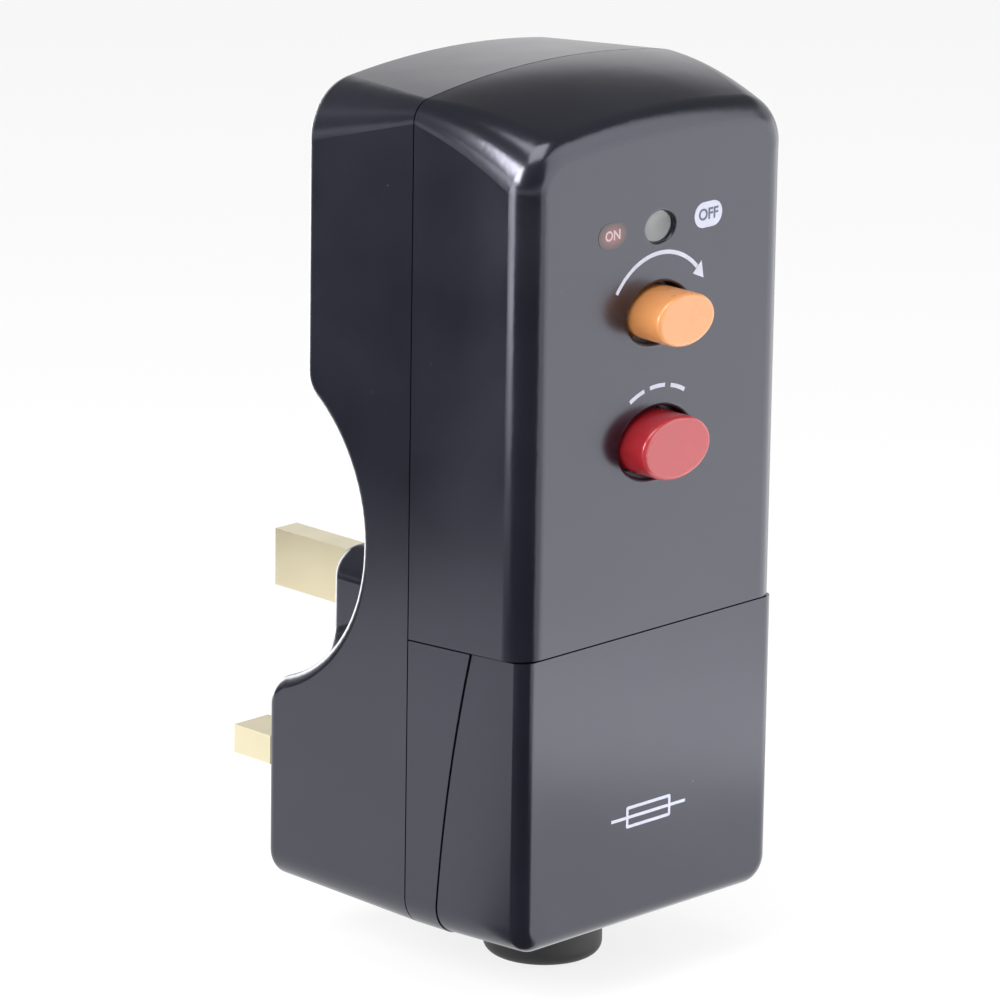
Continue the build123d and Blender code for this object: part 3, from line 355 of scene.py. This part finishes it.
def moulded(name, color, rough, strength=0.15, gloss=0.5):
    """Plain moulded plastic with slight mottling and a fine grain."""
    shade = Shade(name)
    cloud = shade.noise(per_metre=120, detail=3.0)
    grain = shade.noise(per_metre=1800, detail=2.0)
    mottled = shade.spread(cloud, low=0.2, high=0.8)
    shade.paint(shade.mix(mottled, scaled(color, 0.94), scaled(color, 1.05)))
    shade.dull(shade.spread(cloud, low=0.1, high=0.9, to_low=rough - 0.04, to_high=rough + 0.04))
    shade.bump(grain, strength, GRAIN_HEIGHT)
    shade.set(Specular_IOR_Level=gloss)
    return shade.material


def metal(name, color, rough, stretch=LINES_ALONG_Y):
    """Drawn or rolled metal, finely lined along its length, with a little tarnish."""
    shade = Shade(name)
    lines = shade.noise(per_metre=5000, detail=2.0, stretch=stretch)
    tarnish = shade.noise(per_metre=160, detail=4.0)
    shade.paint(shade.mix(shade.spread(tarnish, low=0.2, high=0.9), color, scaled(color, 0.90)))
    shade.dull(shade.spread(lines, low=0.1, high=0.9, to_low=rough - 0.03, to_high=rough + 0.04))
    shade.set(Metallic=1.0)
    return shade.material


def wound(name, color):
    """Enamelled wire laid side by side, as fine ridges round the coil, with painted shade in the grooves
    between the turns.
    """
    shade = Shade(name)
    waves = shade.tree.nodes.new("ShaderNodeTexWave")
    waves.bands_direction = "Z"
    waves.inputs["Scale"].default_value = 900
    waves.inputs["Distortion"].default_value = 0.4
    shade.link(shade.place(), waves.inputs["Vector"])
    turns = waves.outputs["Fac"]
    # Painted shade: the copper darkens towards the grooves between the turns
    shade.paint(shade.mix(turns, scaled(color, 0.45), color))
    shade.bump(turns, strength=0.6, distance=WIRE_HEIGHT)
    shade.set(Metallic=0.7, Roughness=0.32)
    return shade.material


def clear_acrylic(name, tint):
    """Clear acrylic with a trace of haze and a wavy face."""
    shade = Shade(name)
    haze = shade.noise(per_metre=700, detail=2.0)
    shade.dull(shade.spread(haze, low=0.3, high=0.7, to_low=0.02, to_high=0.08))
    waves = shade.noise(per_metre=420, detail=0.5)
    shade.bump(waves, strength=0.55, distance=LENS_WAVE_HEIGHT)
    shade.set(Base_Color=tint, Transmission_Weight=1.0, IOR=1.49, Specular_IOR_Level=1.0)
    return shade.material


def ink(name, color):
    """Screen-printed ink, slightly uneven in cover."""
    shade = Shade(name)
    cover = shade.noise(per_metre=900, detail=3.0)
    shade.paint(shade.mix(shade.spread(cover, low=0.3, high=0.7), scaled(color, 0.9), color))
    shade.bump(cover, strength=0.2, distance=INK_GRAIN_HEIGHT)
    shade.set(Roughness=0.5)
    return shade.material


def faded_ink(name, color, half_width, half_height):
    """Ink of a small oval that thins out towards its edge and shows the plastic under it."""
    shade = Shade(name)
    away = shade.tree.nodes.new("ShaderNodeVectorMath")
    away.operation = "LENGTH"
    shade.link(shade.place((1 / half_width, 1 / half_height, 0)), away.inputs[0])
    thin = shade.spread(away.outputs["Value"], low=0.25, high=0.80)
    shade.paint(shade.mix(thin, color, CASE_BLACK))
    shade.set(Roughness=0.35, Specular_IOR_Level=0.85)
    return shade.material


def board_resist(name):
    """Green solder resist with copper tracks showing through."""
    shade = Shade(name)
    tracks = shade.tree.nodes.new("ShaderNodeTexBrick")
    tracks.inputs["Scale"].default_value = 140
    tracks.inputs["Mortar Size"].default_value = 0.06
    shade.link(shade.place(turn=(pi / 2, 0, 0)), tracks.inputs["Vector"])
    lines = tracks.outputs["Fac"]
    shade.paint(shade.mix(lines, BOARD_RESIST, BOARD_TRACK))
    shade.bump(lines, strength=0.3, distance=GRAIN_HEIGHT)
    shade.set(Roughness=0.25)
    return shade.material


def slot_materials():
    """The material of each of the record's slots."""
    materials = {
        "case_black": case_plastic(),
        "lens_clear": clear_acrylic("lens_clear", LENS_TINT),
        "flag_orange": ink("flag_orange", FLAG_ORANGE),
        "board_green": board_resist("board_green"),
        "winding_copper": wound("winding_copper", COIL_COPPER),
    }
    for slot, (color, rough) in MOULDED.items():
        materials[slot] = moulded(slot, color, rough)
    for slot, (color, rough) in BUTTONS.items():
        materials[slot] = moulded(slot, color, rough, strength=0.05, gloss=0.8)
    for slot, (color, rough, stretch) in METALS.items():
        materials[slot] = metal(slot, color, rough, stretch)
    return materials


def dress_nodes(materials):
    """Gives each CAD node the material of its slot."""
    for node, slot in slots.items():
        mesh = nodes[node].data
        mesh.materials.clear()
        mesh.materials.append(materials[slot])


def printed(name, curve, material, x, z, face):
    """Lays a flat curve or text on a face that looks towards -Y, with its origin at x and z."""
    curve.extrude = INK_DEPTH / 2
    curve.materials.append(material)
    upright = Matrix.Rotation(pi / 2, 4, "X")
    new_piece(name, curve, Matrix.Translation((x, face - INK_LIFT, z)) @ upright)


def outline_curve(name, loops):
    """A flat filled curve with the given loops of points as its outlines."""
    curve = bpy.data.curves.new(name, "CURVE")
    curve.dimensions = "2D"
    curve.fill_mode = "BOTH"
    for points in loops:
        spline = curve.splines.new("POLY")
        spline.points.add(len(points) - 1)
        for point, (x, z) in zip(spline.points, points):
            point.co = (x, z, 0, 1)
        spline.use_cyclic_u = True
    return curve


def rounded(half_x, half_z, radius, x=0.0):
    """A rectangle with round corners, centred at x."""
    points = []
    for turn, (side_x, side_z) in enumerate(((1, 1), (-1, 1), (-1, -1), (1, -1))):
        for i in range(CORNER_STEPS + 1):
            a = pi / 2 * (turn + i / CORNER_STEPS)
            across = side_x * (half_x - radius) + radius * cos(a)
            points.append((across + x, side_z * (half_z - radius) + radius * sin(a)))
    return points


def text_curve(words, size):
    text = bpy.data.curves.new("print_" + words, "FONT")
    text.body = words
    text.size = size
    text.align_x = "CENTER"
    text.align_y = "CENTER"
    text.offset = LETTER_WEIGHT
    return text


def arc_band(radius, start, end, steps):
    """A band along a circle round the origin, between two angles in degrees."""
    outer, inner = radius + ARC_WIDTH / 2, radius - ARC_WIDTH / 2
    start, end = radians(start), radians(end)
    angles = [start + (end - start) * i / steps for i in range(steps + 1)]
    points = [(outer * cos(a), outer * sin(a)) for a in angles]
    points.extend((inner * cos(a), inner * sin(a)) for a in reversed(angles))
    return points


def print_switch_labels(white, face):
    """ON in a red oval and OFF in a white one, either side of the window."""
    red = faded_ink("ink_red", PRINT_RED, LABEL_FADE * LABEL_HALF_WIDTH, LABEL_FADE * LABEL_HALF_HEIGHT)
    pale = ink("ink_pale", PRINT_PALE)
    dark = ink("ink_dark", PRINT_DARK)
    for words, x, size, ground, letters in (
        ("ON", -LABEL_X, ON_SIZE, red, pale),
        ("OFF", LABEL_X, OFF_SIZE, white, dark),
    ):
        outline = rounded(LABEL_HALF_WIDTH, LABEL_HALF_HEIGHT, LABEL_HALF_HEIGHT)
        plate = outline_curve("label_" + words, [outline])
        printed("label_" + words, plate, ground, x, LABEL_Z, face)
        printed("letters_" + words, text_curve(words, size), letters, x, LABEL_Z, face - INK_DEPTH)


def print_reset_arrow(white, face):
    """An arc with an arrowhead over the reset button."""
    band = arc_band(ARROW_RADIUS, ARROW_NECK + ARROW_GAP, ARROW_TAIL, BAND_STEPS)
    head = []
    for distance, angle in (
        (ARROW_RADIUS + 2 * ARC_WIDTH, radians(ARROW_NECK)),
        (ARROW_RADIUS - 2 * ARC_WIDTH, radians(ARROW_NECK)),
        (ARROW_RADIUS, radians(ARROW_TIP)),
    ):
        head.append((distance * cos(angle), distance * sin(angle)))
    curve = outline_curve("reset_arrow", [band, head])
    printed("reset_arrow", curve, white, 0, ARROW_CENTRE_Z, face)


def print_test_arc(white, face):
    """Three short bars on an arc over the test button."""
    bars = [arc_band(BARS_RADIUS, a - BAR_HALF, a + BAR_HALF, BAR_STEPS) for a in BARS]
    printed("test_arc", outline_curve("test_arc", bars), white, 0, BARS_CENTRE_Z, face)


def print_fuse_symbol(white):
    """The plain circuit symbol for a fuse, low on the terminal cover, in loops that don't cross."""
    inner_x, inner_z = FUSE_HALF_X - FUSE_LINE, FUSE_HALF_Z - FUSE_LINE
    loops = [
        rounded(FUSE_HALF_X, FUSE_HALF_Z, FUSE_OUTER_CORNER),
        rounded(inner_x, inner_z, FUSE_INNER_CORNER),
        rounded(inner_x - FUSE_GAP, FUSE_LINE / 2, FUSE_LEAD_CORNER),
    ]
    for side in (-1, 1):
        middle = side * (FUSE_HALF_X + FUSE_LEAD + FUSE_GAP)
        loops.append(rounded(FUSE_LEAD, FUSE_LINE / 2, FUSE_LEAD_CORNER, middle))
    symbol = outline_curve("fuse_symbol", loops)
    printed("fuse_symbol", symbol, white, 0, FUSE_Z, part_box("terminal_cover")[0].y)


def dished_lens(material):
    """Window lens whose front face is dished, in the place of the plain one.

    It has the frame's own pale finish; the clear acrylic is on the plain lens that it replaces.
    """
    low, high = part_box("window_lens")
    centre = (low + high) / 2
    half = (high - low) / 2
    form = bmesh.new()
    rows = []
    for share in LENS_ROWS:
        sink = LENS_DISH * (1 - share ** 2)
        row = []
        for i in range(LENS_SIDES):
            turn = 2 * pi * i / LENS_SIDES
            x, z = centre.x + half.x * share * cos(turn), centre.z + half.z * share * sin(turn)
            row.append(form.verts.new((x, low.y + sink, z)))
        rows.append(row)
    back = [form.verts.new((vert.co.x, high.y, vert.co.z)) for vert in rows[-1]]
    rows.append(back)
    for inner, outer in zip(rows, rows[1:]):
        for i in range(LENS_SIDES):
            j = (i + 1) % LENS_SIDES
            form.faces.new((inner[i], outer[i], outer[j], inner[j]))
    form.faces.new(rows[0])
    form.faces.new(back)
    bmesh.ops.recalc_face_normals(form, faces=form.faces)
    for face in form.faces:
        face.smooth = len(face.verts) == 4
    mesh = new_mesh("dished_lens", form)
    mesh.materials.append(material)
    piece = new_piece("dished_lens", mesh)
    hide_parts("window_lens")


def let_springs_give():
    """Puts a copy in the place of each pressed spring and hides the spring."""
    for node, (joint, axis, held_end, travel) in PRESSED.items():
        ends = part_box(node)
        anchor = (ends[0] + ends[1]) / 2
        anchor[axis] = ends[held_end][axis]
        along = Vector((0, 0, 0))
        along[axis] = 1
        piece = new_piece("pressed_" + node, nodes[node].data.copy())
        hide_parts(node)
        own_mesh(piece)


def separate_solids(mesh):
    """The corner points of each solid in a mesh, in the mesh's own order."""
    form = bmesh.new()
    form.from_mesh(mesh)
    bmesh.ops.remove_doubles(form, verts=form.verts, dist=SAME_POINT)
    seen = set()
    solids = []
    for first in form.verts:
        if first in seen:
            continue
        seen.add(first)
        waiting, points = [first], []
        while waiting:
            vert = waiting.pop()
            points.append(vert.co.copy())
            for edge in vert.link_edges:
                other = edge.other_vert(vert)
                if other not in seen:
                    seen.add(other)
                    waiting.append(other)
        solids.append(points)
    form.free()
    return solids


def screw_head(points):
    """Radius, centre and outward direction of a screw's head, from the screw's corner points."""
    low = Vector([min(p[i] for p in points) for i in range(3)])
    high = Vector([max(p[i] for p in points) for i in range(3)])
    along = max(range(3), key=lambda i: high[i] - low[i])
    middle = (low + high) / 2
    ends = []
    for level, way in ((low[along], -1), (high[along], 1)):
        radius = 0.0
        for point in points:
            if abs(point[along] - level) < END_SKIN:
                away = point - middle
                away[along] = 0
                radius = max(radius, away.length)
        centre = middle.copy()
        centre[along] = level
        outward = Vector((0, 0, 0))
        outward[along] = way
        ends.append((radius, centre, outward))
    return max(ends, key=lambda end: end[0])


def cross_recess(form, radius, centre, outward):
    """A cross-shaped driver recess, shown as a thin plate on the head that is painted dark as the recess's
    shade.
    """
    turn = outward.to_track_quat("Z", "Y")
    arm, half = radius * RECESS_ARM, radius * RECESS_HALF
    outline = []
    for quarter in range(4):
        spin = quarter * pi / 2
        for x, y in ((half, half), (arm, half), (arm, -half)):
            outline.append((x * cos(spin) + y * sin(spin), y * cos(spin) - x * sin(spin)))
    rings = []
    for lift in (-RECESS_PLATE, RECESS_PLATE):
        rings.append([form.verts.new(centre + turn @ Vector((x, y, lift))) for x, y in outline])
    bottom, top = rings
    form.faces.new(top)
    form.faces.new(list(reversed(bottom)))
    for i in range(len(outline)):
        j = (i + 1) % len(outline)
        form.faces.new((bottom[i], bottom[j], top[j], top[i]))


def cut_screw_heads():
    """A driver recess on every screw, each a plate of painted shade."""
    # The dark on the plates is painted shade, in the place of the shade inside each recess
    dark = metal("recess_painted_shade", RECESS_SHADE, 0.5)
    for node, slot in slots.items():
        if slot != SCREW_SLOT:
            continue
        form = bmesh.new()
        for points in separate_solids(nodes[node].data):
            cross_recess(form, *screw_head(points))
        bmesh.ops.recalc_face_normals(form, faces=form.faces)
        mesh = new_mesh("recess_" + node, form)
        mesh.materials.append(dark)
        new_piece("recess_" + node, mesh)


def seen_directly(tree, kinds):
    """1 for rays that show the background: from the camera and of the kinds named."""
    path = tree.nodes.new("ShaderNodeLightPath")
    total = path.outputs["Is Camera Ray"]
    for kind in kinds:
        both = tree.nodes.new("ShaderNodeMath")
        both.operation = "MAXIMUM"
        tree.links.new(total, both.inputs[0])
        tree.links.new(path.outputs[kind], both.inputs[1])
        total = both.outputs[0]
    return total


def build_floor():
    """Pale floor that reads as white and keeps the object's shadow."""
    form = bmesh.new()
    bmesh.ops.create_grid(form, x_segments=1, y_segments=1, size=FLOOR_REACH)
    mesh = new_mesh("floor", form)
    floor = new_object("floor", mesh)
    floor.location = (0, 0, floor_z - FLOOR_GAP)
    material = bpy.data.materials.new("floor_white")
    tree = emptied(material)
    output = tree.nodes.new("ShaderNodeOutputMaterial")
    matt = tree.nodes.new("ShaderNodeBsdfDiffuse")
    matt.inputs["Color"].default_value = (*FLOOR_WHITE, 1)
    glow = tree.nodes.new("ShaderNodeEmission")
    glow.inputs["Color"].default_value = (*PURE_WHITE, 1)
    blend = tree.nodes.new("ShaderNodeMixShader")
    share = tree.nodes.new("ShaderNodeMath")
    share.operation = "MULTIPLY"
    share.inputs[1].default_value = FLOOR_GLOW
    tree.links.new(seen_directly(tree, ("Is Glossy Ray", "Is Transmission Ray")), share.inputs[0])
    tree.links.new(share.outputs[0], blend.inputs["Fac"])
    tree.links.new(matt.outputs[0], blend.inputs[1])
    tree.links.new(glow.outputs[0], blend.inputs[2])
    tree.links.new(blend.outputs[0], output.inputs["Surface"])
    mesh.materials.append(material)


def ranged(tree, value, low, high, to_low, to_high):
    """Maps low to high of a value smoothly onto to_low to to_high, which are numbers or sockets."""
    node = tree.nodes.new("ShaderNodeMapRange")
    node.interpolation_type = "SMOOTHSTEP"
    tree.links.new(value, node.inputs["Value"])
    for key, source in (("From Min", low), ("From Max", high), ("To Min", to_low), ("To Max", to_high)):
        if isinstance(source, (int, float)):
            node.inputs[key].default_value = source
        else:
            tree.links.new(source, node.inputs[key])
    return node.outputs["Result"]


def build_world():
    """A white room that is dim overhead and on the camera's side in the object's gloss."""
    world = bpy.data.worlds.new("studio")
    bpy.context.scene.world = world
    tree = emptied(world)
    output = tree.nodes.new("ShaderNodeOutputWorld")
    sky = tree.nodes.new("ShaderNodeBackground")
    sky.inputs["Color"].default_value = (*PURE_WHITE, 1)
    coords = tree.nodes.new("ShaderNodeTexCoord")
    parts = tree.nodes.new("ShaderNodeSeparateXYZ")
    tree.links.new(coords.outputs["Generated"], parts.inputs[0])
    rear = tree.nodes.new("ShaderNodeVectorMath")
    rear.operation = "DOT_PRODUCT"
    tree.links.new(coords.outputs["Generated"], rear.inputs[0])
    rear.inputs[1].default_value = AWAY_FROM_CAMERA
    level = ranged(tree, rear.outputs["Value"], *BEHIND, GLOSS_FRONT, BACKGROUND)
    gloss = ranged(tree, parts.outputs["Z"], *HORIZON_TOP, level, GLOSS_ABOVE)
    path = tree.nodes.new("ShaderNodeLightPath")
    plain = ranged(tree, path.outputs["Is Glossy Ray"], 0, 1, ROOM_LIGHT, gloss)
    direct = seen_directly(tree, ("Is Transmission Ray",))
    strength = ranged(tree, direct, 0, 1, plain, BACKGROUND)
    tree.links.new(strength, sky.inputs["Strength"])
    tree.links.new(sky.outputs[0], output.inputs["Surface"])


def around(degrees):
    """Level direction at an angle round the object, from its left side turning to its front."""
    return Vector((-cos(radians(degrees)), -sin(radians(degrees)), 0))


def light_panel(name, place, aim, width, height, power):
    """A soft rectangular lamp that the camera doesn't see."""
    lamp = bpy.data.lights.new(name, "AREA")
    lamp.shape = "RECTANGLE"
    lamp.size = width
    lamp.size_y = height
    lamp.energy = power
    panel = new_object(name, lamp)
    panel.location = place
    panel.rotation_euler = (Vector(aim) - Vector(place)).to_track_quat("-Z", "Y").to_euler()
    panel.visible_camera = False


def standing_light(name, angle, distance, low, height, width, radiance):
    """A soft panel standing at an angle round the object, facing it."""
    axis = Vector((LIGHT_AIM[0], LIGHT_AIM[1], low + height / 2))
    light_panel(name, axis + around(angle) * distance, axis, width, height, radiance * pi * width * height)


def floor_card(name, start, end, near, far, strength):
    """A grey or bright sheet lying on the floor, which shows only in the object's gloss."""
    middle = Vector((*CORNER, floor_z + CARD_LIFT))
    form = bmesh.new()
    rows = []
    for i in range(CARD_STEPS + 1):
        way = around(start + (end - start) * i / CARD_STEPS)
        rows.append([form.verts.new(middle + way * reach) for reach in (near, far)])
    for (a, b), (c, d) in zip(rows, rows[1:]):
        form.faces.new((a, b, d, c))
    mesh = new_mesh(name, form)
    card = new_object(name, mesh)
    card.visible_camera = False
    card.visible_diffuse = False
    card.visible_transmission = False
    card.visible_shadow = False
    material = bpy.data.materials.new(name)
    tree = emptied(material)
    output = tree.nodes.new("ShaderNodeOutputMaterial")
    glow = tree.nodes.new("ShaderNodeEmission")
    glow.inputs["Strength"].default_value = strength
    tree.links.new(glow.outputs[0], output.inputs["Surface"])
    mesh.materials.append(material)


def build_lights():
    """Key and top lamps, and the panels and cards whose reflections shape the gloss."""
    light_panel("key", (0.45, -0.75, 0.45), LIGHT_AIM, width=0.8, height=0.8, power=4.2)
    light_panel("top", (-0.15, -0.20, 0.90), LIGHT_AIM, width=0.6, height=0.6, power=5.0)
    standing_light("front_panel", 134.0, 0.100, low=-0.0215, height=0.115, width=0.22, radiance=1.20)
    standing_light("side_strip", -15.0, 0.27, low=-0.005, height=0.15, width=0.10, radiance=5.5)
    standing_light("rear_strip", -92.0, 0.15, low=-0.020, height=0.13, width=0.07, radiance=4.5)
    light_panel("side_box", (-0.42, 0.02, 0.30), LIGHT_AIM, width=0.20, height=0.24, power=3.0)
    floor_card("card_front", -32, 119, near=0.001, far=0.70, strength=0.04)
    floor_card("card_side", -75, -32, near=0.198, far=0.70, strength=0.03)
    floor_card("card_bright", 119, 178, near=0.001, far=0.16, strength=1.60)


def build_camera():
    azimuth, elevation, roll = map(radians, (CAMERA_AZIMUTH, CAMERA_ELEVATION, CAMERA_ROLL))
    back = Vector((sin(azimuth) * cos(elevation), -cos(azimuth) * cos(elevation), sin(elevation)))
    level = Vector((0, 0, 1)).cross(back).normalized()
    upright = back.cross(level)
    right = cos(roll) * level + sin(roll) * upright
    up = cos(roll) * upright - sin(roll) * level
    lens = bpy.data.cameras.new("camera")
    lens.sensor_width = SENSOR
    lens.lens = LENS
    lens.clip_start, lens.clip_end = CAMERA_CLIP
    camera = new_object("camera", lens)
    turn = Matrix((right, up, back)).transposed().to_4x4()
    place = CAMERA_AIM + CAMERA_ASIDE * right + CAMERA_RAISED * up + CAMERA_DISTANCE * back
    camera.matrix_world = Matrix.Translation(place) @ turn
    bpy.context.scene.camera = camera


dress_nodes(slot_materials())
front_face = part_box("front_housing")[0].y
white_ink = ink("ink_white", PRINT_WHITE)
print_switch_labels(white_ink, front_face)
print_reset_arrow(white_ink, front_face)
print_test_arc(white_ink, front_face)
print_fuse_symbol(white_ink)
dished_lens(frame_lens)
let_springs_give()
cut_screw_heads()
build_floor()
build_world()
build_lights()
build_camera()
bpy.context.scene.view_settings.view_transform = "Standard"
